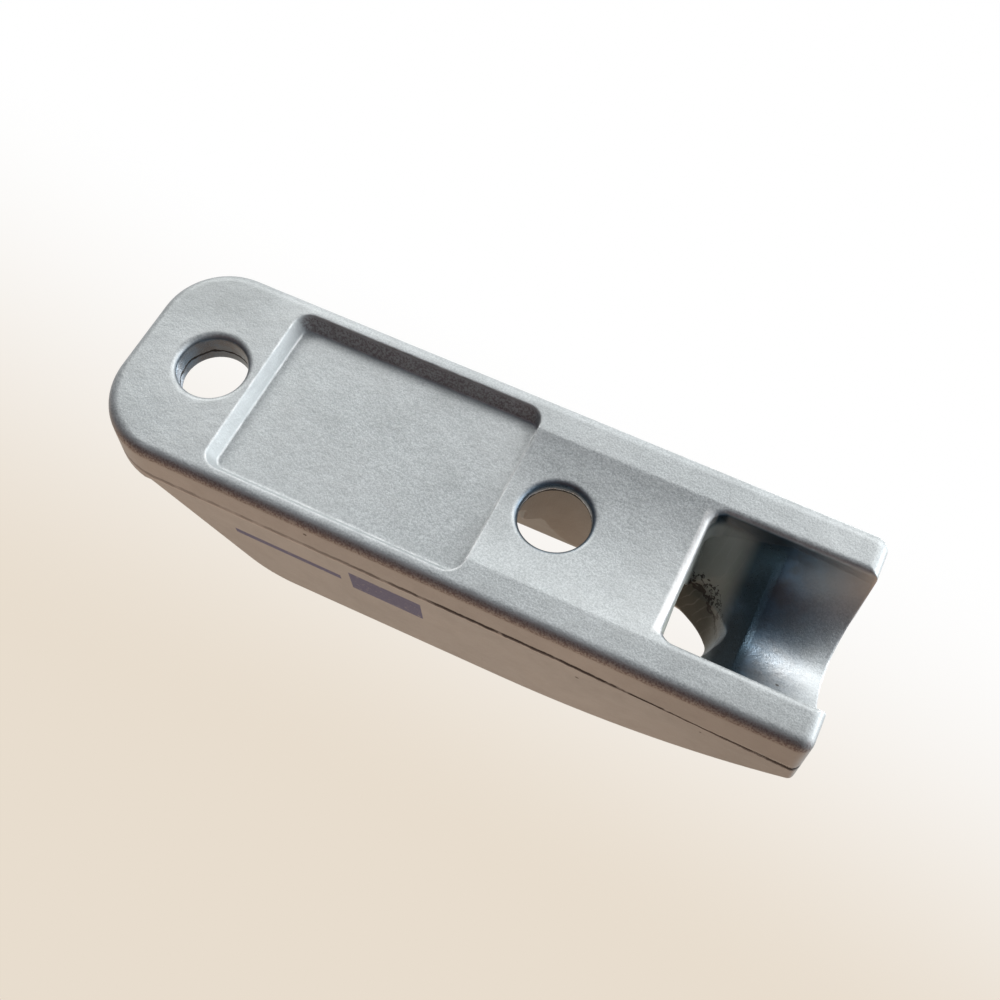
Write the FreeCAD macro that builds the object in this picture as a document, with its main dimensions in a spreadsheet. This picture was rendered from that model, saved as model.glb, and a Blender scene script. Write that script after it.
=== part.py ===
import FreeCAD, Part
import os
import math
import Sketcher

# A die-cast cleat for small rope, in one piece: a flat base with two rails, two toothed cheeks that
# form a V, a tab with one screw hole at one end and a closed fairlead at the other.
# Frame: the deck is the plane Z = 0, the jaws point up, +X is the tab's end, and the origin lies on
# the deck midway between the two screw holes.

doc = FreeCAD.newDocument("jam_cleat")
sizes = doc.addObject("Spreadsheet::Sheet", "Sizes")

SIZES = [
    # base in plan
    ("hole_spacing", 27.0, "between the two screw holes"),
    ("tab_reach", 6.1, "from the tab's hole to the tab's end"),
    ("open_reach", 21.2, "from the jaws' hole to the open end"),
    ("body_width", 16.6, "over the side walls below the parting line"),
    ("tab_corner_left", 5.0, "radius in plan of the tab's corner on the left, seen from the open end"),
    ("tab_corner_right", 5.8, "radius in plan of the tab's other corner"),
    ("end_corner", 1.0, "radius of the open end's corners in plan"),
    ("base_edge", 0.85, "rounding where the side walls meet the deck"),
    # side profile
    ("tab_height", 4.5, "top of the tab"),
    ("parting_height", 3.6, "parting line of the casting"),
    ("parting_ledge", 0.06, "step of the parting line"),
    ("ramp_foot", 1.0, "ramp's foot, beyond the tab's hole"),
    ("ramp_run", 6.75, "ramp's top, back from the tab's hole"),
    ("crest_front", 14.5, "height of the cheeks at the ramp"),
    ("crest_back", 13.95, "height of the cheeks where the crest starts to fall"),
    ("crest_fall", 13.0, "from the origin to where the crest starts to fall"),
    ("open_height", 6.6, "height at the open end"),
    ("ramp_bend", 4.5, "radius between ramp and crest"),
    ("wall_lean", 0.95, "how far each side wall leans in between the parting line and the crest"),
    ("upper_edge", 0.45, "rounding of the upper outer edges, over the crests and round the tab"),
    # groove and teeth
    ("root_half", 0.9, "half width of the groove's round root"),
    ("root_height", 3.9, "where the flanks start"),
    ("root_depth", 0.4, "depth of the round root below the flanks"),
    ("tooth_top", 10.3, "upper end of the teeth"),
    ("throat_half", 3.66, "half width between the teeth at their upper end"),
    ("tooth_depth", 0.65, "depth of the notches between teeth"),
    ("mouth_half", 5.0, "half width of the groove at the crest"),
    ("gather_half", 2.95, "half width to which the groove closes at the lip, at the height of nose_height"),
    ("gather_lean", 0.22, "how far each side leans over the groove there, per unit of height"),
    ("gather_length", 5.3, "length over which it closes"),
    ("tooth_pitch", 1.9, "spacing of the teeth along the groove"),
    ("tooth_land", 0.22, "flat left on each tooth"),
    ("tooth_rake", 0.5, "how far a tooth leans along the groove, per unit of height"),
    ("tooth_bite", 0.3, "place of the notch's root in its width"),
    ("tooth_count", 15, "teeth on each cheek"),
    ("tooth_start", 0.9, "first notch, from the lip"),
    # screw holes
    ("screw_bore", 5.1, "diameter of both screw holes"),
    ("screw_head", 9.8, "diameter of the clearance for the heads"),
    ("tab_seat", 2.6, "height of the tab's countersink above the deck"),
    ("throat_seat", 1.45, "height of the jaws' countersink above the deck"),
    ("bore_rim", 0.45, "rounding of the holes at the deck"),
    # underside
    ("dish_margin", 0.45, "how far the shallow dish reaches past the rope's passage on each side"),
    ("dish_depth", 0.6, "depth of the dish"),
    ("recess_gap", 3.3, "from the tab's hole to the recess"),
    ("recess_length", 19.8, "recess along the base"),
    ("recess_width", 14.2, "recess across the base"),
    ("recess_depth", 1.15, "recess's floor above the deck"),
    ("recess_corner", 1.3, "radius of the recess's corners at the deck"),
    ("recess_slope", 0.62, "how far its walls lean in over their height"),
    ("recess_step", 0.2, "the same for its wall nearest the jaws"),
    # fairlead
    ("lip_reach", 9.6, "from the jaws' hole to the lip"),
    ("lip_edge", 0.4, "rounding of the lip and of the rails beside the passage"),
    ("lip_corner", 1.15, "radius where the lip meets the rails"),
    ("passage_half", 5.2, "half width of the rope's passage"),
    ("spring_height", 1.0, "where the passage's arch starts"),
    ("arch_rise", 4.2, "rise of the arch"),
    ("crease_reach", 5.65, "from the lip to the lowest part of the arch"),
    ("riser_half", 3.6, "half width of the riser's arch above the lip"),
    ("riser_spring", 8.9, "where that arch starts"),
    ("riser_rise", 3.5, "rise of that arch"),
    ("flare", 0.85, "how far the arch opens out past the open end"),
    ("nose_reach", 2.79, "from the lip to the fairlead's nose, at the height of nose_height"),
    ("nose_height", 12.0, "height of the nose's upper edge"),
    ("nose_lean", 0.23, "how far the nose leans over the groove, per unit of height"),
    ("nose_radius", 0.9, "radius of the nose in plan, at its upper edge"),
    ("nose_cheek", 8.0, "radius of the notch's sides in plan, at its upper edge"),
    ("waist_height", 9.3, "height below which the notch is blunter in plan"),
    ("waist_radius", 1.6, "radius of the nose in plan, below that"),
    ("waist_cheek", 5.0, "radius of the notch's sides in plan, below that"),
    ("ease_run", 0.5, "length over which the arch starts to climb towards the lip"),
    ("ease_rise", 0.25, "how far it climbs there"),
    ("scoop", 0.6, "how far the fairlead's front is scooped"),
]
for row, (alias, number, use) in enumerate(SIZES, start=1):
    sizes.set(f"A{row}", use)
    sizes.set(f"B{row}", str(number))
    sizes.setAlias(f"B{row}", alias)
doc.recompute()

body = doc.addObject("PartDesign::Body", "cleat_body")
body.Label = "cleat_body"

# lengths that several features share, written with the sheet's names
TAB_HOLE = "(Sizes.hole_spacing / 2)"
JAW_HOLE = "(-Sizes.hole_spacing / 2)"
TAB_END = "(Sizes.hole_spacing / 2 + Sizes.tab_reach)"
OPEN_END = "(-Sizes.hole_spacing / 2 - Sizes.open_reach)"
LIP = "(-Sizes.hole_spacing / 2 - Sizes.lip_reach)"
SIDE = "(Sizes.body_width / 2)"
OVER = "(Sizes.crest_front + 2)"
LONG = "(2 * (Sizes.hole_spacing + Sizes.tab_reach + Sizes.open_reach))"


def value(expression):
    return float(sizes.evalExpression(expression))


def origin_part(role):
    return next(o for o in body.Origin.OriginFeatures if o.Role == role)


def new_sketch(name, role, shift=None, along=None):
    """A sketch on an origin plane of the body, moved along its normal by shift or along its first axis by along."""
    sketch = body.newObject("Sketcher::SketchObject", name)
    sketch.AttachmentSupport = [(origin_part(role), "")]
    sketch.MapMode = "FlatFace"
    if shift:
        sketch.setExpression("AttachmentOffset.Base.z", shift)
    if along:
        sketch.setExpression("AttachmentOffset.Base.x", along)
    return sketch


def hold_point(sketch, edge, end, x_expression, y_expression):
    for kind, expression in (("DistanceX", x_expression), ("DistanceY", y_expression)):
        index = sketch.addConstraint(
            Sketcher.Constraint(kind, -1, 1, edge, end, value(expression))
        )
        sketch.setExpression(f"Constraints[{index}]", expression)


def outline(sketch, corners):
    """Draws a closed outline. Each corner is (x, y) or (x, y, radius, turn), where the last two say that the edge to
    the next corner is an arc of that radius, turning anticlockwise for 1 and clockwise for -1."""
    count = len(corners)
    points = [FreeCAD.Vector(value(c[0]), value(c[1]), 0) for c in corners]
    first_ends = []
    last_ends = []
    for i, corner in enumerate(corners):
        start, end = points[i], points[(i + 1) % count]
        if len(corner) == 2:
            edge = sketch.addGeometry(Part.LineSegment(start, end))
            first_ends.append((edge, 1))
            last_ends.append((edge, 2))
            continue
        radius, turn = value(corner[2]), corner[3]
        half = (end - start) * 0.5
        across = FreeCAD.Vector(-half.y, half.x, 0).normalize()
        back = math.sqrt(max(radius**2 - half.Length**2, 0))
        centre = start + half + across * back * turn
        angles = [math.atan2(p.y - centre.y, p.x - centre.x) for p in (start, end)]
        if turn < 0:
            angles.reverse()
        circle = Part.Circle(centre, FreeCAD.Vector(0, 0, 1), radius)
        edge = sketch.addGeometry(Part.ArcOfCircle(circle, angles[0], angles[1]))
        first_ends.append((edge, 1 if turn > 0 else 2))
        last_ends.append((edge, 2 if turn > 0 else 1))
        index = sketch.addConstraint(Sketcher.Constraint("Radius", edge, radius))
        sketch.setExpression(f"Constraints[{index}]", corner[2])
    for i in range(count):
        nxt = (i + 1) % count
        sketch.addConstraint(Sketcher.Constraint("Coincident", *last_ends[i], *first_ends[nxt]))
        hold_point(sketch, *first_ends[i], corners[i][0], corners[i][1])
    return first_ends


def settle(feature, less_than=None, more_than=None):
    """Recomputes, and stops if the feature failed or changed the volume the wrong way."""
    doc.recompute()
    if "Invalid" in feature.State or "Error" in feature.State or feature.Shape.isNull():
        raise RuntimeError(f"{feature.Name} failed: {feature.State}")
    volume = feature.Shape.Volume
    if less_than is not None and not volume < less_than - 1e-3:
        raise RuntimeError(f"{feature.Name} removed nothing")
    if more_than is not None and not volume > more_than + 1e-3:
        raise RuntimeError(f"{feature.Name} added nothing")
    return feature


def cut(name, sketch, length, side="One side", turned=False):
    before = body.Shape.Volume
    feature = body.newObject("PartDesign::Pocket", name)
    feature.Profile = sketch
    feature.Type = "Length"
    feature.SideType = side
    feature.Reversed = turned
    feature.setExpression("Length", length)
    return settle(feature, less_than=before)


def loft_cut(name, sections, ruled):
    before = body.Shape.Volume
    feature = body.newObject("PartDesign::SubtractiveLoft", name)
    feature.Profile = sections[0]
    feature.Sections = sections[1:]
    feature.Ruled = ruled
    return settle(feature, less_than=before)


def edges_of(feature, wanted):
    names = []
    for number, edge in enumerate(feature.Shape.Edges, start=1):
        if wanted(edge):
            names.append(f"Edge{number}")
    if not names:
        raise RuntimeError(f"no edge of {feature.Name} fits")
    return names


def round_edges(name, wanted, radius):
    base = body.Tip
    feature = body.newObject("PartDesign::Fillet", name)
    feature.Base = (base, edges_of(base, wanted))
    feature.setExpression("Radius", radius)
    return settle(feature)


def near(a, b, slack=0.01):
    return abs(a - b) < slack


def box_of(edge):
    return edge.BoundBox


# The casting's outline from the side: base, tab, ramp, crest and the fall towards the open end.
profile = new_sketch("side_profile", "XZ_Plane")
fall_x = "(-Sizes.crest_fall)"
fall_run = "(Sizes.hole_spacing / 2 + Sizes.open_reach - Sizes.crest_fall)"
fall_drop = "(Sizes.crest_back - Sizes.open_height)"
crest_run = "(Sizes.hole_spacing / 2 - Sizes.ramp_run + Sizes.crest_fall)"
crest_angle = f"atan((Sizes.crest_front - Sizes.crest_back) / {crest_run})"
fall_radius = (
    f"(sqrt({fall_run}^2 + {fall_drop}^2)"
    f" / (2 * sin(atan({fall_drop} / {fall_run}) - {crest_angle})))"
)
side_points = [
    (OPEN_END, "0"),
    (TAB_END, "0"),
    (TAB_END, "Sizes.tab_height"),
    (f"{TAB_HOLE} + Sizes.ramp_foot", "Sizes.tab_height"),
    (f"{TAB_HOLE} - Sizes.ramp_run", "Sizes.crest_front"),
    (fall_x, "Sizes.crest_back", fall_radius, 1),
    (OPEN_END, "Sizes.open_height"),
]
outline(profile, side_points)
block = body.newObject("PartDesign::Pad", "block")
block.Profile = profile
block.SideType = "Symmetric"
block.setExpression("Length", "Sizes.body_width")
settle(block)

tab_end, open_end, side = value(TAB_END), value(OPEN_END), value(SIDE)
crest_front = value("Sizes.crest_front")
ramp_top_x = value(f"{TAB_HOLE} - Sizes.ramp_run")


def upright_at(x, sides):
    def wanted(edge):
        b = box_of(edge)
        upright = b.XLength < 1e-6 and b.YLength < 1e-6
        return upright and near(b.XMin, x) and any(b.YMin * sign > 0 for sign in sides)

    return wanted


round_edges("tab_corner_left", upright_at(tab_end, (1,)), "Sizes.tab_corner_left")
round_edges("tab_corner_right", upright_at(tab_end, (-1,)), "Sizes.tab_corner_right")
round_edges("end_corners", upright_at(open_end, (1, -1)), "Sizes.end_corner")


def across_ramp_top(edge):
    b = box_of(edge)
    return near(b.XMin, ramp_top_x) and near(b.XMax, ramp_top_x) and near(b.ZMin, crest_front)


round_edges("ramp_top", across_ramp_top, "Sizes.ramp_bend")

# Above the parting line the side walls lean in towards the crests.
lean = "(Sizes.wall_lean / (Sizes.crest_front - Sizes.parting_height))"
upper_half = f"({SIDE} - Sizes.parting_ledge - {lean} * ({OVER} - Sizes.parting_height))"
walls = new_sketch("side_lean", "YZ_Plane")
outline(
    walls,
    [
        (f"{SIDE} - Sizes.parting_ledge", "Sizes.parting_height"),
        (f"{SIDE} + 2", "Sizes.parting_height"),
        (f"{SIDE} + 2", OVER),
        (upper_half, OVER),
    ],
)
outline(
    walls,
    [
        (f"-{SIDE} + Sizes.parting_ledge", "Sizes.parting_height"),
        (f"-{upper_half}", OVER),
        (f"-{SIDE} - 2", OVER),
        (f"-{SIDE} - 2", "Sizes.parting_height"),
    ],
)
cut("side_walls", walls, LONG, "Symmetric")


def upper_rim(edge):
    """The outer edges from the open end over the crests, down the ramp and round the tab."""
    b = box_of(edge)
    tab_height = value("Sizes.tab_height")
    on_tab = near(b.ZMin, tab_height) and near(b.ZMax, tab_height)
    if on_tab:
        return b.XLength > 1e-6 or near(b.XMin, tab_end)
    outer = b.YMin > value("Sizes.mouth_half") or b.YMax < -value("Sizes.mouth_half")
    return outer and b.ZMax > value("Sizes.open_height") - 0.01 and b.XLength > 0.01


def deck_rim(edge):
    b = box_of(edge)
    return b.ZMax < 1e-6 and not (b.XLength < 1e-6 and near(b.XMin, open_end))


round_edges("upper_edge", upper_rim, "Sizes.upper_edge")
round_edges("deck_edge", deck_rim, "Sizes.base_edge")

# The rope's passage: an arched tunnel that opens out towards the open end, and a riser from its lowest
# part up to the jaws.
arch_radius = "((Sizes.passage_half^2 + Sizes.arch_rise^2) / (2 * Sizes.arch_rise))"
CREASE = f"({LIP} - Sizes.crease_reach)"


def arch_section(name, place, lift):
    sketch = new_sketch(name, "YZ_Plane", shift=place)
    spring = f"(Sizes.spring_height + {lift})"
    outline(
        sketch,
        [
            ("-Sizes.passage_half", "-1"),
            ("Sizes.passage_half", "-1"),
            ("Sizes.passage_half", spring, arch_radius, 1),
            ("-Sizes.passage_half", spring),
        ],
    )
    return sketch


past_end = f"({OPEN_END} - 1)"
middle = f"({CREASE} * 0.55 + {past_end} * 0.45)"
mouth = [
    arch_section("arch_end", past_end, "Sizes.flare"),
    arch_section("arch_middle", middle, "Sizes.flare * 0.2"),
    arch_section("arch_low", CREASE, "0"),
]
loft_cut("fairlead_mouth", mouth, False)


def riser_section(name, place, corner, side_radius, shoulder, top_radius):
    """Half width and height are given where the wall starts to lean in and where the arch's top starts."""
    sketch = new_sketch(name, "YZ_Plane", shift=place)
    half, height = shoulder
    outline(
        sketch,
        [
            ("-Sizes.passage_half", "-1"),
            ("Sizes.passage_half", "-1"),
            ("Sizes.passage_half", corner, side_radius, 1),
            (half, height, top_radius, 1),
            (f"-{half}", height, side_radius, 1),
            ("-Sizes.passage_half", corner),
        ],
    )
    return sketch


low_half = "(0.88 * Sizes.passage_half)"
low_height = (
    f"(Sizes.spring_height + Sizes.arch_rise - {arch_radius} + sqrt({arch_radius}^2 - {low_half}^2))"
)
riser_radius = "((Sizes.riser_half^2 + Sizes.riser_rise^2) / (2 * Sizes.riser_rise))"
riser = [
    riser_section("riser_low", CREASE, "Sizes.spring_height", arch_radius, (low_half, low_height), arch_radius),
    riser_section(
        "riser_ease",
        f"({CREASE} + Sizes.ease_run)",
        "(Sizes.spring_height + Sizes.ease_rise)",
        arch_radius,
        (low_half, f"({low_height} + Sizes.ease_rise)"),
        arch_radius,
    ),
    riser_section(
        "riser_high",
        LIP,
        "Sizes.parting_height",
        "(4 * Sizes.riser_half)",
        ("Sizes.riser_half", "Sizes.riser_spring"),
        riser_radius,
    ),
]
loft_cut("fairlead_riser", riser, True)

# Round corners where the lip meets the rails.
for mark, sign in (("left", 1), ("right", -1)):
    minus = "" if sign > 0 else "-"
    inner = f"{minus}(Sizes.passage_half - Sizes.lip_corner)"
    wall = f"{minus}Sizes.passage_half"
    beyond = f"{minus}(Sizes.passage_half + 0.1)"
    corner = new_sketch(f"lip_corner_{mark}", "XY_Plane")
    outline(
        corner,
        [
            (f"{LIP} + 0.1", beyond),
            (f"{LIP} - Sizes.lip_corner", beyond),
            (f"{LIP} - Sizes.lip_corner", wall, "Sizes.lip_corner", -sign),
            (LIP, inner),
            (f"{LIP} + 0.1", inner),
        ],
    )
    before = body.Shape.Volume
    web = body.newObject("PartDesign::Pad", f"lip_web_{mark}")
    web.Profile = corner
    web.setExpression("Length", "Sizes.parting_height")
    settle(web, more_than=before)

# The shallow dish between the rails, from the recess to the fairlead's end: one arc from rail to rail.
dish_half = "(Sizes.passage_half + Sizes.dish_margin)"
dish_radius = f"(({dish_half}^2 + Sizes.dish_depth^2) / (2 * Sizes.dish_depth))"
dish = new_sketch("dish_section", "YZ_Plane")
outline(
    dish,
    [
        (f"-{dish_half}", "-1"),
        (dish_half, "-1"),
        (dish_half, "0", dish_radius, 1),
        (f"-{dish_half}", "0"),
    ],
)
cut("dish", dish, LONG)

# The lip and the rails have soft edges beside the passage.
def passage_rim(edge):
    b = box_of(edge)
    low = b.ZMax < value("Sizes.dish_depth") + 0.01
    inside = b.YMax < value("Sizes.passage_half") + 0.01 and b.YMin > -value("Sizes.passage_half") - 0.01
    return low and inside and b.XMax < value(LIP) + 0.01


round_edges("passage_edge", passage_rim, "min(Sizes.lip_edge; 0.9 * Sizes.dish_margin)")

# The groove between the cheeks: a round root, two flanks at the tips of the teeth, and a wider mouth above
# them. Near the lip it gathers to the width of the fairlead's opening.
root_radius = "((Sizes.root_half^2 + Sizes.root_depth^2) / (2 * Sizes.root_depth))"
flank = "((Sizes.throat_half - Sizes.root_half) / (Sizes.tooth_top - Sizes.root_height))"
groove_end = f"({TAB_HOLE} - Sizes.screw_head / 4)"
GATHER = f"({LIP} + Sizes.gather_length)"
teeth_back = "(Sizes.throat_half + Sizes.tooth_depth)"
mouth_over = (
    f"({teeth_back} + (Sizes.mouth_half - {teeth_back})"
    f" * ({OVER} - Sizes.tooth_top) / (Sizes.crest_back - Sizes.tooth_top))"
)


def lip_half(height):
    return f"(Sizes.gather_half + Sizes.gather_lean * (Sizes.nose_height - {height}))"


def groove_section(name, place, halves):
    """The groove's section, where halves lists its half width and height at three corners, from the flank up."""
    sketch = new_sketch(name, "YZ_Plane", shift=place)
    corners = [("-Sizes.root_half", "Sizes.root_height", root_radius, 1), ("Sizes.root_half", "Sizes.root_height")]
    corners += halves
    corners += [(f"-{half}", height) for half, height in reversed(halves)]
    outline(sketch, corners)
    return sketch


full_halves = [("Sizes.throat_half", "Sizes.tooth_top"), (teeth_back, "Sizes.tooth_top"), (mouth_over, OVER)]
gather_top = "(Sizes.waist_height + Sizes.tooth_depth)"
lip_halves = [
    (lip_half("Sizes.waist_height"), "Sizes.waist_height"),
    (lip_half(gather_top), gather_top),
    (lip_half(OVER), OVER),
]
groove = groove_section("groove_section", GATHER, full_halves)
cut("groove", groove, f"{groove_end} - {GATHER}", turned=True)
gather = [groove_section("gather_wide", GATHER, full_halves), groove_section("gather_lip", LIP, lip_halves)]
loft_cut("groove_gather", gather, True)

# Teeth: slanting notches cut into each flank. They lean towards the tab as they climb, so that a rope
# pulled through the fairlead draws itself down into the V.
notch_width = "(Sizes.tooth_pitch - Sizes.tooth_land)"
first_notch = f"({LIP} + Sizes.tooth_start)"
for mark, sign in (("left", 1), ("right", -1)):
    minus = "" if sign > 0 else "-"
    notch = new_sketch(f"notch_{mark}", "XY_Plane", shift="Sizes.root_height")
    corners = [
        (first_notch, f"{minus}(Sizes.root_half - 0.3)"),
        (f"{first_notch} + {notch_width}", f"{minus}(Sizes.root_half - 0.3)"),
        (f"{first_notch} + {notch_width}", f"{minus}Sizes.root_half"),
        (f"{first_notch} + {notch_width} * Sizes.tooth_bite", f"{minus}(Sizes.root_half + Sizes.tooth_depth)"),
        (first_notch, f"{minus}Sizes.root_half"),
    ]
    outline(notch, corners)
    before = body.Shape.Volume
    tooth = body.newObject("PartDesign::Pocket", f"tooth_{mark}")
    tooth.Profile = notch
    tooth.Type = "Length"
    tooth.Reversed = True
    tooth.UseCustomVector = True
    tooth.AlongSketchNormal = True
    tooth.Direction = FreeCAD.Vector(-value("Sizes.tooth_rake"), -sign * value(flank), -1)
    tooth.setExpression("Direction.x", "-Sizes.tooth_rake")
    tooth.setExpression("Direction.y", f"{'-' if sign > 0 else ''}{flank}")
    tooth.setExpression("Length", "Sizes.tooth_top - Sizes.root_height")
    settle(tooth, less_than=before)
    row = body.newObject("PartDesign::LinearPattern", f"teeth_{mark}")
    row.Originals = [tooth]
    row.Direction = (origin_part("X_Axis"), [""])
    row.setExpression("Length", "Sizes.tooth_pitch * (Sizes.tooth_count - 1)")
    row.setExpression("Occurrences", "Sizes.tooth_count")
    body.Tip = row
    settle(row, less_than=tooth.Shape.Volume)

# Screw holes: a bore, a countersink and a clearance that lets the head and the driver down between the cheeks.
for mark, centre, seat in (
    ("tab", TAB_HOLE, "Sizes.tab_seat"),
    ("jaws", JAW_HOLE, "Sizes.throat_seat"),
):
    section = new_sketch(f"{mark}_hole_section", "XZ_Plane", along=centre)
    bore, head = "Sizes.screw_bore / 2", "Sizes.screw_head / 2"
    outline(
        section,
        [
            ("0", "-1"),
            (bore, "-1"),
            (bore, seat),
            (head, f"{seat} + Sizes.screw_head / 2 - Sizes.screw_bore / 2"),
            (head, OVER),
            ("0", OVER),
        ],
    )
    before = body.Shape.Volume
    hole = body.newObject("PartDesign::Groove", f"{mark}_hole")
    hole.Profile = section
    hole.ReferenceAxis = (section, ["V_Axis"])
    hole.Angle = 360
    settle(hole, less_than=before)

# The fairlead's nose: a notch that is blunt in plan under the bridge and narrows towards the top, where its
# sides lean over the groove.
def nose_section(name, height, radius, cheek):
    sketch = new_sketch(name, "XY_Plane", shift=height)
    tip = f"({LIP} - Sizes.nose_reach + Sizes.nose_lean * ({height} - Sizes.nose_height))"
    shoulder = f"({tip} + {radius} * 0.2)"
    half = f"({radius} * 0.6)"
    outline(
        sketch,
        [
            (LIP, lip_half(height), cheek, 1),
            (shoulder, half, radius, 1),
            (shoulder, f"-{half}", cheek, 1),
            (LIP, f"-{lip_half(height)}"),
        ],
    )
    return sketch


nose = [
    nose_section("nose_low", "(Sizes.spring_height + Sizes.arch_rise)", "Sizes.waist_radius", "Sizes.waist_cheek"),
    nose_section("nose_waist", "Sizes.waist_height", "Sizes.waist_radius", "Sizes.waist_cheek"),
    nose_section("nose_rim", "Sizes.nose_height", "Sizes.nose_radius", "Sizes.nose_cheek"),
    nose_section("nose_high", OVER, "Sizes.nose_radius", "Sizes.nose_cheek"),
]
loft_cut("nose", nose, True)

# The fairlead's front is scooped a little between the rails.
scoop_radius = "((Sizes.passage_half^2 + Sizes.scoop^2) / (2 * Sizes.scoop))"
scoop = new_sketch("scoop_plan", "XY_Plane")
outline(
    scoop,
    [
        (f"{OPEN_END} - 1", "-Sizes.passage_half"),
        (OPEN_END, "-Sizes.passage_half", scoop_radius, 1),
        (OPEN_END, "Sizes.passage_half"),
        (f"{OPEN_END} - 1", "Sizes.passage_half"),
    ],
)
cut("scoop", scoop, OVER, turned=True)

# The recess in the base.
recess_near = f"({TAB_HOLE} - Sizes.recess_gap)"
recess_far = f"({recess_near} - Sizes.recess_length)"


def round_rectangle(sketch, x_low, x_high, half, radius):
    outline(
        sketch,
        [
            (f"{x_low} + {radius}", f"-{half}"),
            (f"{x_high} - {radius}", f"-{half}", radius, 1),
            (x_high, f"-{half} + {radius}"),
            (x_high, f"{half} - {radius}", radius, 1),
            (f"{x_high} - {radius}", half),
            (f"{x_low} + {radius}", half, radius, 1),
            (x_low, f"{half} - {radius}"),
            (x_low, f"-{half} + {radius}", radius, 1),
        ],
    )


recess_top = new_sketch("recess_at_deck", "XY_Plane")
recess_half = "(Sizes.recess_width / 2)"
round_rectangle(recess_top, recess_far, recess_near, recess_half, "Sizes.recess_corner")
recess_floor = new_sketch("recess_floor", "XY_Plane", shift="Sizes.recess_depth")
round_rectangle(
    recess_floor,
    f"({recess_far} + Sizes.recess_step)",
    f"({recess_near} - Sizes.recess_slope)",
    f"({recess_half} - Sizes.recess_slope)",
    "(Sizes.recess_corner - Sizes.recess_slope)",
)
loft_cut("recess", [recess_top, recess_floor], True)


# The screw holes have soft rims at the deck.
def hole_rim(edge):
    """The edges round both bores where they open into the dish."""
    bore = value("Sizes.screw_bore / 2")
    if edge.Length < bore or edge.BoundBox.ZMax > value("Sizes.dish_depth * 1.1"):
        return False
    points = edge.discretize(5)
    centres = (value(TAB_HOLE), value(JAW_HOLE))
    return any(all(near(math.hypot(p.x - x, p.y), bore) for p in points) for x in centres)


round_edges("hole_rims", hole_rim, "Sizes.bore_rim")

doc.recompute()
for thing in doc.Objects:
    if "Invalid" in thing.State or "Error" in thing.State:
        raise RuntimeError(f"{thing.Name} is not valid")
casting = body.Shape
if casting.isNull() or not casting.isValid() or len(casting.Solids) != 1:
    raise RuntimeError("the casting is not one valid solid")
os.makedirs("parts", exist_ok=True)
casting.exportStep("parts/cleat_body.step")
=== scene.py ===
import bpy
from mathutils import Matrix, Vector

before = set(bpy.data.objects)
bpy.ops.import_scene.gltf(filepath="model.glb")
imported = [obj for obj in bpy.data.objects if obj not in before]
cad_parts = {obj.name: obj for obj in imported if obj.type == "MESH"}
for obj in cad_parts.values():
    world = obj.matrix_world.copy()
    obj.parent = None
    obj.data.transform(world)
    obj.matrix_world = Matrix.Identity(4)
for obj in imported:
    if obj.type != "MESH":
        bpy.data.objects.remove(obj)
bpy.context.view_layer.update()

# Lengths and places are in millimetres in the part's frame, and this factor makes metres of them. x grows
# from the fairlead's open end to the tab and z from the deck to the jaws. The side nearest the camera has
# negative y.
MM = 0.001

# The camera looks up at the base from below and from the fairlead's end.
CAMERA_PLACE = (-27.29, -39.74, -78.61)
CAMERA_TARGET = (-9.72, -0.74, 0.0)
CAMERA_UP = (0.388, 0.788, -0.478)
CAMERA_LENS = 47.6
CAMERA_SENSOR = 36.0
CAMERA_CLIP_M = (0.001, 20.0)

# Places on the casting that its finish follows.
OPEN_END_X = -34.7
CREASE_X = -28.8
NOTCH_X = -26.1
LIP_X = -23.2
RISER_BACK_X = -19.7
TAB_X = 14.0
HOLE_PLACES = (-13.5, 13.5)
BORE_RADIUS = 2.55
PASSAGE_HALF = 5.2
PASSAGE_TOP = 12.2
LIP_THICKNESS = 1.5
GROOVE_HALF = 5.15
GROOVE_END_X = 4.5
SIDE_FROM = 6.9
LINE_HEIGHT = 3.15

# Colours are linear RGB.
CAST_GREY = (0.50, 0.53, 0.535)
CAST_LIGHT = (0.72, 0.73, 0.72)
CAST_DARK = (0.27, 0.28, 0.275)
WORN_METAL_AND_HIGHLIGHT = (0.80, 0.80, 0.79)
CORE_SHADE_BLUE = (0.14, 0.20, 0.26)
CORE_SHADE_GREY = (0.13, 0.155, 0.18)
NOTCH_REFLECTION_OLIVE = (0.52, 0.54, 0.49)
NOTCH_SHADE_OLIVE = (0.045, 0.055, 0.042)
RISER_SHADE = (0.035, 0.07, 0.10)
GROOVE_SHADE = (0.20, 0.185, 0.155)
FLASH_DARK = (0.022, 0.020, 0.018)
FLASH_HIGHLIGHT = (0.78, 0.78, 0.76)
SPECK_DARK = (0.08, 0.07, 0.06)
FRINGE_SHADE = (0.12, 0.07, 0.075)
PRINT_BLUE = (0.075, 0.105, 0.33)
PAPER = (0.86, 0.855, 0.84)
BACK_WHITE = (1.0, 1.0, 1.0)
BACK_CREAM = (0.807, 0.723, 0.617)


def at(*millimetres):
    return Vector(millimetres) * MM


def look_from(place, target, up):
    """The matrix of a camera at place that looks at target."""
    back = (Vector(place) - Vector(target)).normalized()
    right = Vector(up).cross(back).normalized()
    matrix = Matrix((right, back.cross(right), back)).transposed().to_4x4()
    matrix.translation = at(*place)
    return matrix


camera_data = bpy.data.cameras.new("camera")
camera_data.sensor_width = CAMERA_SENSOR
camera_data.lens = CAMERA_LENS
camera_data.clip_start, camera_data.clip_end = CAMERA_CLIP_M
camera = bpy.data.objects.new("camera", camera_data)
camera.matrix_world = look_from(CAMERA_PLACE, CAMERA_TARGET, CAMERA_UP)
scene = bpy.context.scene
scene.collection.objects.link(camera)
scene.camera = camera
scene.view_settings.view_transform = "Standard"


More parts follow.
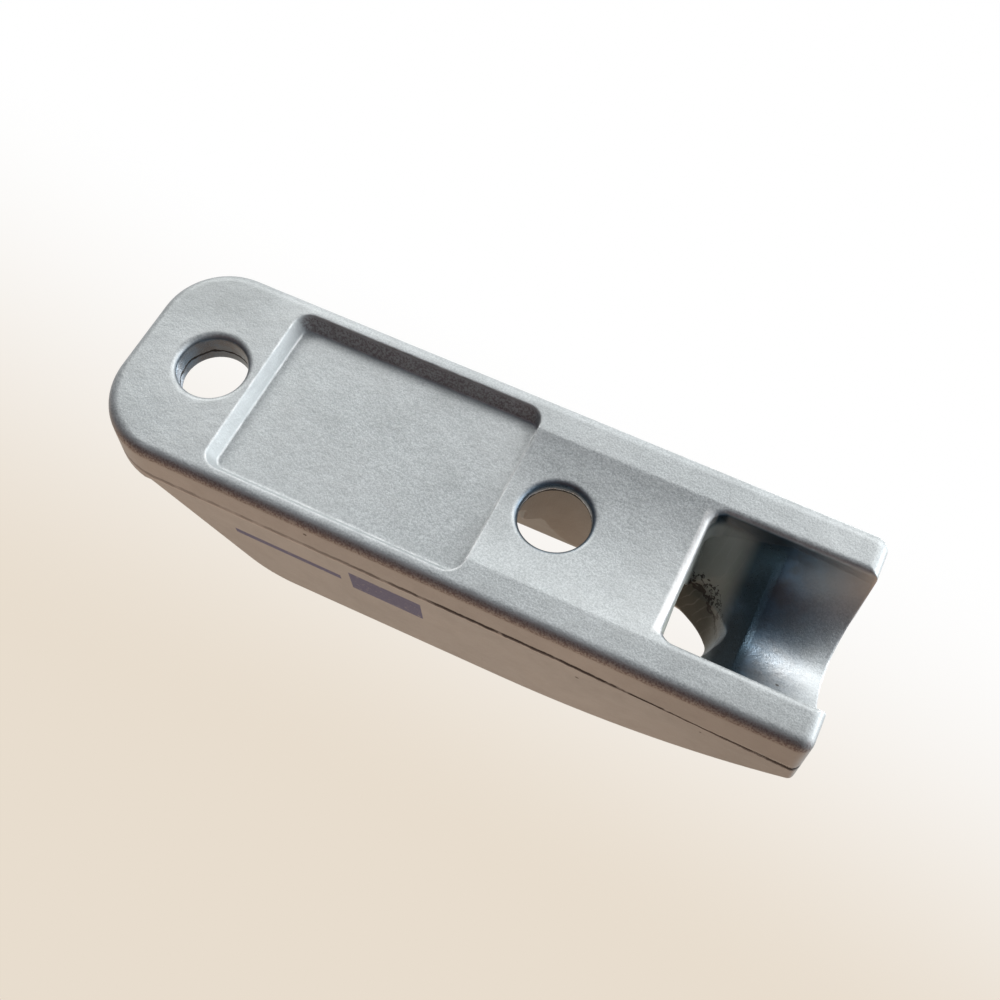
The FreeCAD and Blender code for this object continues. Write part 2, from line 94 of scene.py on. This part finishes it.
class Nodes:
    """Adds shader nodes to a tree. Its methods return an output of the new node, but add returns the node."""

    def __init__(self, tree):
        self.tree = tree
        tree.nodes.clear()

    def add(self, kind, settings=None, **inputs):
        """An input is named by its label, with _ for each space, or by in and its number. It is given as a
        value or as another node's output."""
        node = self.tree.nodes.new(kind)
        for key, setting in (settings or {}).items():
            setattr(node, key, setting)
        for key, source in inputs.items():
            socket = node.inputs[int(key[2:]) if key.startswith("in") else key.replace("_", " ")]
            if isinstance(source, bpy.types.NodeSocket):
                self.tree.links.new(source, socket)
            elif socket.type == "RGBA":
                socket.default_value = (*source, 1.0)
            else:
                socket.default_value = source
        return node

    def math(self, operation, a, b=0.0, clamp=False):
        settings = {"operation": operation, "use_clamp": clamp}
        return self.add("ShaderNodeMath", settings, in0=a, in1=b).outputs[0]

    def plus(self, a, b, clamp=False):
        return self.math("ADD", a, b, clamp)

    def minus(self, a, b):
        return self.math("SUBTRACT", a, b)

    def absolute(self, value):
        return self.math("ABSOLUTE", value)

    def larger(self, a, b):
        return self.math("MAXIMUM", a, b)

    def multiply(self, *factors):
        result = factors[0]
        for factor in factors[1:]:
            result = self.math("MULTIPLY", result, factor)
        return result

    def dot(self, a, b):
        return self.add("ShaderNodeVectorMath", {"operation": "DOT_PRODUCT"}, in0=a, in1=b).outputs["Value"]

    def step(self, source, low, high, floor=0.0, top=1.0):
        """Goes smoothly from floor to top as source goes from low to high."""
        limits = {"From_Min": low, "From_Max": high, "To_Min": floor, "To_Max": top}
        settings = {"interpolation_type": "SMOOTHSTEP"}
        return self.add("ShaderNodeMapRange", settings, Value=source, **limits).outputs["Result"]

    def fall(self, source, low, high):
        """Goes smoothly from 1 to 0 as source goes from low to high."""
        return self.step(source, low, high, floor=1.0, top=0.0)

    def above(self, source, limit, soft=0.05):
        """1 where source is over limit, and 0 below it, with a border of soft to either side."""
        return self.step(source, limit - soft, limit + soft)

    def below(self, source, limit, soft=0.05):
        return self.fall(source, limit - soft, limit + soft)

    def band(self, source, middle, half, soft):
        """1 within half of middle, and 0 further than half + soft from it."""
        return self.fall(self.absolute(self.minus(source, middle)), half, half + soft)

    def noise(self, place, size, detail=2.0, roughness=0.5):
        inputs = {"Vector": place, "Scale": 1.0 / size, "Detail": detail, "Roughness": roughness}
        return self.add("ShaderNodeTexNoise", **inputs).outputs["Fac"]

    def sway(self, noise, width):
        """The noise as an amount to either side of 0, over width in all."""
        return self.multiply(self.minus(noise, 0.5), width)

    def mix(self, factor, a, b):
        """The colour a where factor is 0, and b where it is 1."""
        settings = {"data_type": "RGBA", "clamp_factor": True}
        return self.add("ShaderNodeMix", settings, in0=factor, in6=a, in7=b).outputs[2]


cast = bpy.data.materials.new("cast_alloy")
cast.use_nodes = True
n = Nodes(cast.node_tree)

# The point of the surface in millimetres, and its three coordinates.
local = n.add("ShaderNodeTexCoord").outputs["Object"]
point = n.add("ShaderNodeVectorMath", {"operation": "SCALE"}, in0=local, Scale=1.0 / MM).outputs[0]
x, y, z = n.add("ShaderNodeSeparateXYZ", in0=point).outputs
width = n.absolute(y)

true_normal = n.add("ShaderNodeNewGeometry").outputs["Normal"]
normal_z = n.add("ShaderNodeSeparateXYZ", in0=true_normal).outputs[2]
upright = n.fall(n.absolute(normal_z), 0.45, 0.75)
near_half = n.below(y, 0.0)

grain = n.noise(point, size=0.15, detail=2.0, roughness=0.6)
fine = n.noise(point, size=0.07, detail=1.0)
mottle = n.noise(point, size=2.2, detail=3.0, roughness=0.6)
clouds = n.noise(point, size=9.0)


def coat(base, mask, tint, share):
    """Lays tint over base where mask is 1, as densely as share says."""
    return n.mix(n.multiply(mask, share), base, tint)


# The blasted outer skin: sandy grain over cloudy grey, more even on the walls.
FLAT_EVENNESS, WALL_EVENNESS = 0.58, 0.28
sand = n.plus(n.multiply(grain, 0.7), n.multiply(fine, 0.3))
colour = n.mix(n.step(sand, 0.34, 0.66), CAST_DARK, CAST_LIGHT)
colour = n.mix(n.plus(FLAT_EVENNESS, n.multiply(upright, WALL_EVENNESS)), colour, CAST_GREY)
colour = n.mix(n.step(mottle, 0.35, 0.75, top=0.22), colour, CAST_DARK)
colour = n.mix(n.step(clouds, 0.40, 0.70, top=0.15), colour, CAST_LIGHT)

# Painted shade: two darker patches, on the tab's far side and at the near rail's end.
tab_shade = n.multiply(n.step(x, 9.0, 16.0), n.step(y, 0.5, 6.0))
rail_end_shade = n.multiply(n.fall(x, -34.0, -18.0), n.fall(y, -8.0, -4.5))
colour = coat(colour, n.larger(tab_shade, rail_end_shade), CAST_DARK, share=0.40)

# Worn edges, in patches: where the rounded normal turns away from the true one.
EDGE_RADIUS = 0.30
rounded = n.add("ShaderNodeBevel", {"samples": 8}, Radius=EDGE_RADIUS * MM).outputs[0]
edge = n.step(n.dot(rounded, true_normal), 0.995, 0.93)
patches = n.step(n.noise(point, size=0.9), 0.35, 0.65, floor=0.10, top=0.7)
colour = n.mix(n.multiply(edge, patches), colour, WORN_METAL_AND_HIGHLIGHT)

# The cores left a smoother skin inside the passage and its riser, and painted shade darkens it, growing
# from the open end to the crease. It begins just above the deck plane, and behind the lip it begins above
# the lip's thickness.
CORE_FROM = 0.25
inward = n.fall(normal_z, 0.2, 0.35)
behind_lip = n.above(x, LIP_X + 0.02, soft=0.02)
roofed = n.above(n.minus(z, n.multiply(behind_lip, LIP_THICKNESS)), CORE_FROM, soft=0.2)
along = n.multiply(n.below(x, RISER_BACK_X), n.step(x, OPEN_END_X - 0.3, CREASE_X + 0.5))
between = n.below(width, PASSAGE_HALF + 0.02)
passage = n.multiply(between, along, roofed, n.below(z, PASSAGE_TOP, soft=0.2), inward)


def axis_distance(place):
    """How far a point is from the axis of the hole at place."""
    aside = n.minus(x, place)
    return n.math("SQRT", n.plus(n.multiply(aside, aside), n.multiply(y, y)))


# The bores have the same smoother skin and the same painted shade.
hole_far = n.math("MINIMUM", *(axis_distance(place) for place in HOLE_PLACES))
bores = n.multiply(n.fall(hole_far, BORE_RADIUS + 0.06, BORE_RADIUS + 0.40), n.above(z, 0.20, soft=0.2))
core_skin_and_shade = n.larger(passage, bores)
shade_patches = n.noise(point, size=1.3, detail=3.0, roughness=0.6)
# Painted shade: dark bluish grey in patches over the passage, riser and bores.
colour = n.mix(core_skin_and_shade, colour, n.mix(n.step(shade_patches, 0.35, 0.7), CORE_SHADE_BLUE, CORE_SHADE_GREY))

# Painted highlight on the near side of the mouth, strongest on the tips of the grain.
mouth_near_side = n.multiply(passage, n.fall(x, -33.5, -28.5), n.fall(y, -1.4, 1.6))
mouth_highlight = n.multiply(mouth_near_side, n.step(sand, 0.36, 0.60, floor=0.55))
colour = coat(colour, mouth_highlight, WORN_METAL_AND_HIGHLIGHT, share=0.9)

# Painted shade: behind the crease, the riser is darker.
riser_shade = n.multiply(passage, n.above(x, CREASE_X, soft=0.8))
colour = coat(colour, riser_shade, RISER_SHADE, share=0.8)

# Painted shade: the groove's walls are darker and browner than the outside. High up, what faces upwards
# doesn't count as wall.
walled = n.larger(n.below(normal_z, 0.75, soft=0.08), n.below(z, 5.0, soft=0.5))
groove_x = (n.above(x, LIP_X + 1.0, soft=1.0), n.below(x, GROOVE_END_X, soft=2.0))
groove_shade = n.multiply(n.below(width, GROOVE_HALF, soft=0.2), n.above(z, 1.5, soft=0.2), *groove_x, walled)
colour = coat(colour, groove_shade, GROOVE_SHADE, share=0.6)

# Painted shade and reflection: the riser's far wall and the notch beside it are olive, darker towards the
# jaws, with faint rings.
notch = n.multiply(passage, n.above(x, NOTCH_X, soft=0.9), n.above(z, 1.6, soft=0.6))
colour = coat(colour, notch, NOTCH_REFLECTION_OLIVE, share=0.85)
colour = coat(colour, n.multiply(notch, n.above(z, 8.6, soft=0.8)), NOTCH_SHADE_OLIVE, share=0.9)
ring_kind = {"wave_type": "RINGS", "rings_direction": "Y"}
rings = n.add("ShaderNodeTexWave", ring_kind, Vector=point, Scale=0.55, Distortion=3.0, Detail=2.0)
ring_marks = n.multiply(n.step(rings.outputs["Fac"], 0.90, 0.99), notch, n.step(mottle, 0.45, 0.6))
colour = coat(colour, ring_marks, CAST_LIGHT, share=0.10)

# Painted highlight along the lip's edge.
lip_edge = n.band(x, LIP_X + 0.20, half=0.34, soft=0.18)
lip_highlight = n.multiply(lip_edge, n.below(z, 1.3, soft=0.3), n.below(width, 4.9, soft=0.3))
colour = coat(colour, lip_highlight, WORN_METAL_AND_HIGHLIGHT, share=0.9)

# A dark ragged line of flash across the notch, with a finer one curling round it.
wander = n.sway(n.noise(point, size=0.9, detail=3.0, roughness=0.6), width=2.2)
twist = n.sway(n.noise(point, size=0.4), width=3.0)
line = n.band(n.plus(z, wander), 8.9, half=0.12, soft=0.10)
curl = n.band(n.plus(z, twist), 8.1, half=0.08, soft=0.08)
seam = n.multiply(n.larger(line, curl), notch)
colour = coat(colour, seam, FLASH_DARK, share=0.9)

# The parting line round the sides: a dark hair line, sharper near the fairlead, where it climbs away from the
# deck, and fainter on the far side. On the near side it is clotted at the fairlead's end. A lighter line runs
# just above it.
CLIMB_FROM_X, CLIMB_SLOPE = -18.0, 0.065
climb = n.multiply(n.larger(n.minus(CLIMB_FROM_X, x), 0.0), CLIMB_SLOPE)
ragged = n.sway(n.noise(point, size=0.7, detail=3.0, roughness=0.6), width=0.35)
line_z = n.minus(n.minus(z, climb), ragged)
outer = n.multiply(upright, n.larger(n.above(width, SIDE_FROM, soft=0.2), n.above(x, TAB_X, soft=0.5)))
sharp = n.step(x, -12.0, 2.0, floor=1.0, top=0.30)
broken = n.step(n.noise(point, size=1.1), 0.30, 0.48, floor=0.35)
sided = n.step(near_half, 0.0, 1.0, floor=0.5)
hair = n.multiply(n.band(line_z, LINE_HEIGHT, half=0.15, soft=0.14), outer, sharp, broken, sided)
clot_band = n.band(line_z, LINE_HEIGHT, half=0.24, soft=0.16)
clots = n.multiply(clot_band, n.below(x, -29.0, soft=1.5), n.step(fine, 0.42, 0.52))
parting = n.larger(hair, n.multiply(clots, outer, near_half))
colour = coat(colour, parting, FLASH_DARK, share=0.92)
lighter_line = n.multiply(n.band(line_z, LINE_HEIGHT + 0.25, half=0.10, soft=0.15), outer)
colour = coat(colour, lighter_line, CAST_LIGHT, share=0.25)

# Flash rings inside the bores, where the two halves of the die met. The one in the jaws' bore is nearer to
# the deck and has a painted highlight beside it.
RING_Z, JAWS_RING_DROP = 1.75, 0.40
flash_z = n.minus(z, n.sway(n.noise(point, size=0.6), width=0.5))
in_bore = n.below(hole_far, BORE_RADIUS + 0.08, soft=0.03)
jaws_side = n.below(x, 0.0)
ring_z = n.plus(RING_Z, n.multiply(jaws_side, -JAWS_RING_DROP))
from_ring = n.minus(flash_z, ring_z)
flash = n.multiply(n.band(from_ring, 0.0, half=0.07, soft=0.07), in_bore)
colour = coat(colour, flash, FLASH_DARK, share=0.95)
# Painted highlight beside the jaws' flash ring, on the deck's side of it.
flash_highlight_band = n.band(from_ring, -0.13, half=0.05, soft=0.05)
flash_highlight = n.multiply(flash_highlight_band, in_bore, jaws_side, n.step(fine, 0.46, 0.58))
colour = n.mix(flash_highlight, colour, FLASH_HIGHLIGHT)


def bar(middle_x, half_x, middle_z, half_z):
    """A plain bar of print on a side wall."""
    return n.multiply(n.band(x, middle_x, half_x, soft=0.05), n.band(z, middle_z, half_z, soft=0.05))


# Print on the side nearest the camera: a wide and a slim bar, scuffed.
near_side = n.multiply(n.below(y, -SIDE_FROM, soft=0.2), upright)
bars = n.larger(bar(-4.4, 2.8, 6.5, 1.45), bar(3.6, 4.3, 6.9, 0.34))
scuffed = n.step(n.noise(point, size=0.35, detail=3.0, roughness=0.7), 0.30, 0.42, floor=0.35)
ink = n.multiply(bars, near_side, scuffed)
colour = coat(colour, ink, PRINT_BLUE, share=0.85)

# Small dark pits: where they are, and their radius.
SPECK_SHARE = 0.85
SPECKS = (
    ((-19.1, -8.1, 5.3), 0.14),
    ((-28.0, -8.1, 5.0), 0.10),
    ((1.3, -8.25, 1.4), 0.16),
    ((-9.4, -8.2, 3.1), 0.13),
    ((-13.2, -8.2, 3.2), 0.12),
    ((-31.4, -3.1, 4.4), 0.16),
    ((-19.3, 1.0, 0.3), 0.09),
    ((6.3, 2.4, 0.1), 0.12),
)
for place, radius in SPECKS:
    away = n.add("ShaderNodeVectorMath", {"operation": "DISTANCE"}, in0=point, in1=place).outputs["Value"]
    ragged_away = n.plus(away, n.sway(fine, width=radius))
    pit = n.step(ragged_away, radius * 0.6, radius * 1.2, floor=SPECK_SHARE, top=0.0)
    colour = n.mix(pit, colour, SPECK_DARK)

# Painted shade: a dark ragged fringe under the near deck edge and on the recess's far wall.
near_edge = n.multiply(n.band(z, 0.42, half=0.20, soft=0.22), n.below(y, -7.5, soft=0.3))
recess_wall = n.multiply(
    n.band(y, 6.75, half=0.40, soft=0.15),
    n.band(z, 0.65, half=0.40, soft=0.15),
    n.band(x, 0.3, half=9.2, soft=0.8),
)
shade_fringe = n.multiply(n.larger(near_edge, recess_wall), n.step(grain, 0.40, 0.60))
colour = coat(colour, shade_fringe, FRINGE_SHADE, share=0.55)

# Bumps: rounded edges, sand grain, a slow unevenness, and the lines sunk in.
marks = n.larger(parting, n.larger(flash, seam))
BUMPS = ((sand, 0.38, 0.05, False), (mottle, 0.30, 0.2, False), (marks, 0.6, 0.08, True))
bump = rounded
for height, strength, depth, sunk in BUMPS:
    inputs = {"Strength": strength, "Distance": depth * MM, "Height": height, "Normal": bump}
    bump = n.add("ShaderNodeBump", {"invert": sunk}, **inputs).outputs[0]

# The core's skin is smoother and more metallic than the outer one. The notch and the lines are rougher and
# less metallic, and the print is less metallic.
NOTCH_DULL = 0.9
DULL_ROUGHNESS = 0.45
INK_METAL = 0.2
dull = n.larger(n.multiply(notch, NOTCH_DULL), marks)
skin_rough = n.step(sand, 0.30, 0.70, floor=0.46, top=0.60)
core_rough = n.step(fine, 0.3, 0.7, floor=0.27, top=0.40)
rough = n.add("ShaderNodeMix", {"data_type": "FLOAT"}, in0=core_skin_and_shade, in2=skin_rough, in3=core_rough).outputs[0]
rough = n.plus(rough, n.multiply(dull, DULL_ROUGHNESS), clamp=True)
skin_metal = n.step(core_skin_and_shade, 0.0, 1.0, floor=0.65, top=0.80)
metal = n.multiply(skin_metal, n.minus(1.0, dull), n.step(ink, 0.2, 0.8, floor=1.0, top=INK_METAL))
look = {"Base_Color": colour, "Metallic": metal, "Roughness": rough, "Normal": bump}
surface = n.add("ShaderNodeBsdfPrincipled", **look).outputs[0]
n.add("ShaderNodeOutputMaterial", Surface=surface)

casting = bpy.data.objects["cleat_body"]
casting.data.materials.clear()
casting.data.materials.append(cast)

# The floor lies just under the deck plane.
FLOOR_DROP = 0.08
FLOOR_HALF = 1500.0
FLOOR_CORNERS = ((-1, -1), (1, -1), (1, 1), (-1, 1))

floor_mesh = bpy.data.meshes.new("floor")
corners = [at(a * FLOOR_HALF, b * FLOOR_HALF, -FLOOR_DROP) for a, b in FLOOR_CORNERS]
floor_mesh.from_pydata(corners, [], [(0, 1, 2, 3)])
floor = bpy.data.objects.new("floor", floor_mesh)
scene.collection.objects.link(floor)

# The floor shows only from above, so the base can be seen, and lit, from below.
pale = bpy.data.materials.new("pale_floor")
pale.use_nodes = True
n = Nodes(pale.node_tree)
backfacing = n.add("ShaderNodeNewGeometry").outputs["Backfacing"]
seen = n.add("ShaderNodeLightPath").outputs["Is Camera Ray"]
shown = n.multiply(seen, n.minus(1.0, backfacing))
clear = n.add("ShaderNodeBsdfTransparent").outputs[0]
paper = n.add("ShaderNodeBsdfDiffuse", Color=PAPER, Roughness=0.8).outputs[0]
both = n.add("ShaderNodeMixShader", in0=shown, in1=clear, in2=paper).outputs[0]
n.add("ShaderNodeOutputMaterial", Surface=both)
floor_mesh.materials.append(pale)

world = bpy.data.worlds.new("soft_room")
scene.world = world
world.use_nodes = True
n = Nodes(world.node_tree)
direction = n.add("ShaderNodeTexCoord").outputs["Generated"]


def towards(vector, low, high):
    """Goes from 0 to 1 as the direction turns towards vector."""
    return n.step(n.dot(direction, Vector(vector).normalized()), low, high)


# The room as it lights the part. It is dim but for the things in it, each given by its direction, the
# cosines of the angles at which it begins and is full, and its colour: the white beyond, a warm table top, a
# window at the fairlead's end, a pale wall on the far side and a brown one on the near side.
ROOM_DIM = (0.05, 0.06, 0.08)
ROOM_THINGS = (
    ((0.10, 0.75, 0.65), -0.10, 0.60, (0.95, 0.97, 1.0)),
    ((0.10, -0.62, 0.78), 0.15, 0.80, (0.70, 0.48, 0.35)),
    ((-0.82, 0.46, -0.32), 0.72, 0.93, (1.9, 2.0, 2.1)),
    ((0.15, 0.90, -0.42), 0.62, 0.92, (1.05, 1.08, 1.10)),
    ((0.19, -0.88, -0.35), 0.72, 0.95, (0.13, 0.065, 0.055)),
)
room = ROOM_DIM
for vector, low, high, tint in ROOM_THINGS:
    room = n.mix(towards(vector, low, high), room, tint)

# The background goes from white at the top of the photograph to cream at its bottom left. It also shows in
# reflections of what lies beyond the part.
seen_back = n.mix(towards((0.06, -0.90, 0.43), -0.12, 0.24), BACK_WHITE, BACK_CREAM)
path = n.add("ShaderNodeLightPath").outputs
mirrored = n.larger(path["Is Glossy Ray"], path["Is Transmission Ray"])
beyond = towards((0.196, 0.436, 0.878), 0.55, 0.85)
shows_back = n.larger(path["Is Camera Ray"], n.multiply(mirrored, beyond))
view_back = n.add("ShaderNodeBackground", Color=seen_back, Strength=1.0).outputs[0]
room_light = n.add("ShaderNodeBackground", Color=room, Strength=1.0).outputs[0]
blend = n.add("ShaderNodeMixShader", in0=shows_back, in1=room_light, in2=view_back).outputs[0]
n.add("ShaderNodeOutputWorld", Surface=blend)

# Round lamps as windows, all turned to the part's middle: name, place, diameter, watts and colour.
PART_MIDDLE = (-5.0, 0.0, 4.0)
LAMPS = (
    ("window_key", (-340.0, 710.0, -630.0), 240.0, 3.2, (1.0, 1.0, 1.0)),
    ("far_window", (600.0, 640.0, -620.0), 420.0, 3.3, (1.0, 1.0, 0.99)),
    ("end_window", (-940.0, 420.0, -60.0), 420.0, 4.0, (0.96, 0.98, 1.0)),
    ("sky_window", (-200.0, 740.0, 660.0), 420.0, 2.5, (0.96, 0.98, 1.0)),
)
for name, place, diameter, power, tint in LAMPS:
    light = bpy.data.lights.new(name, "AREA")
    light.shape = "DISK"
    light.size = diameter * MM
    light.energy = power
    light.color = tint
    lamp = bpy.data.objects.new(name, light)
    lamp.location = at(*place)
    lamp.rotation_euler = (at(*PART_MIDDLE) - at(*place)).to_track_quat("-Z", "Y").to_euler()
    scene.collection.objects.link(lamp)
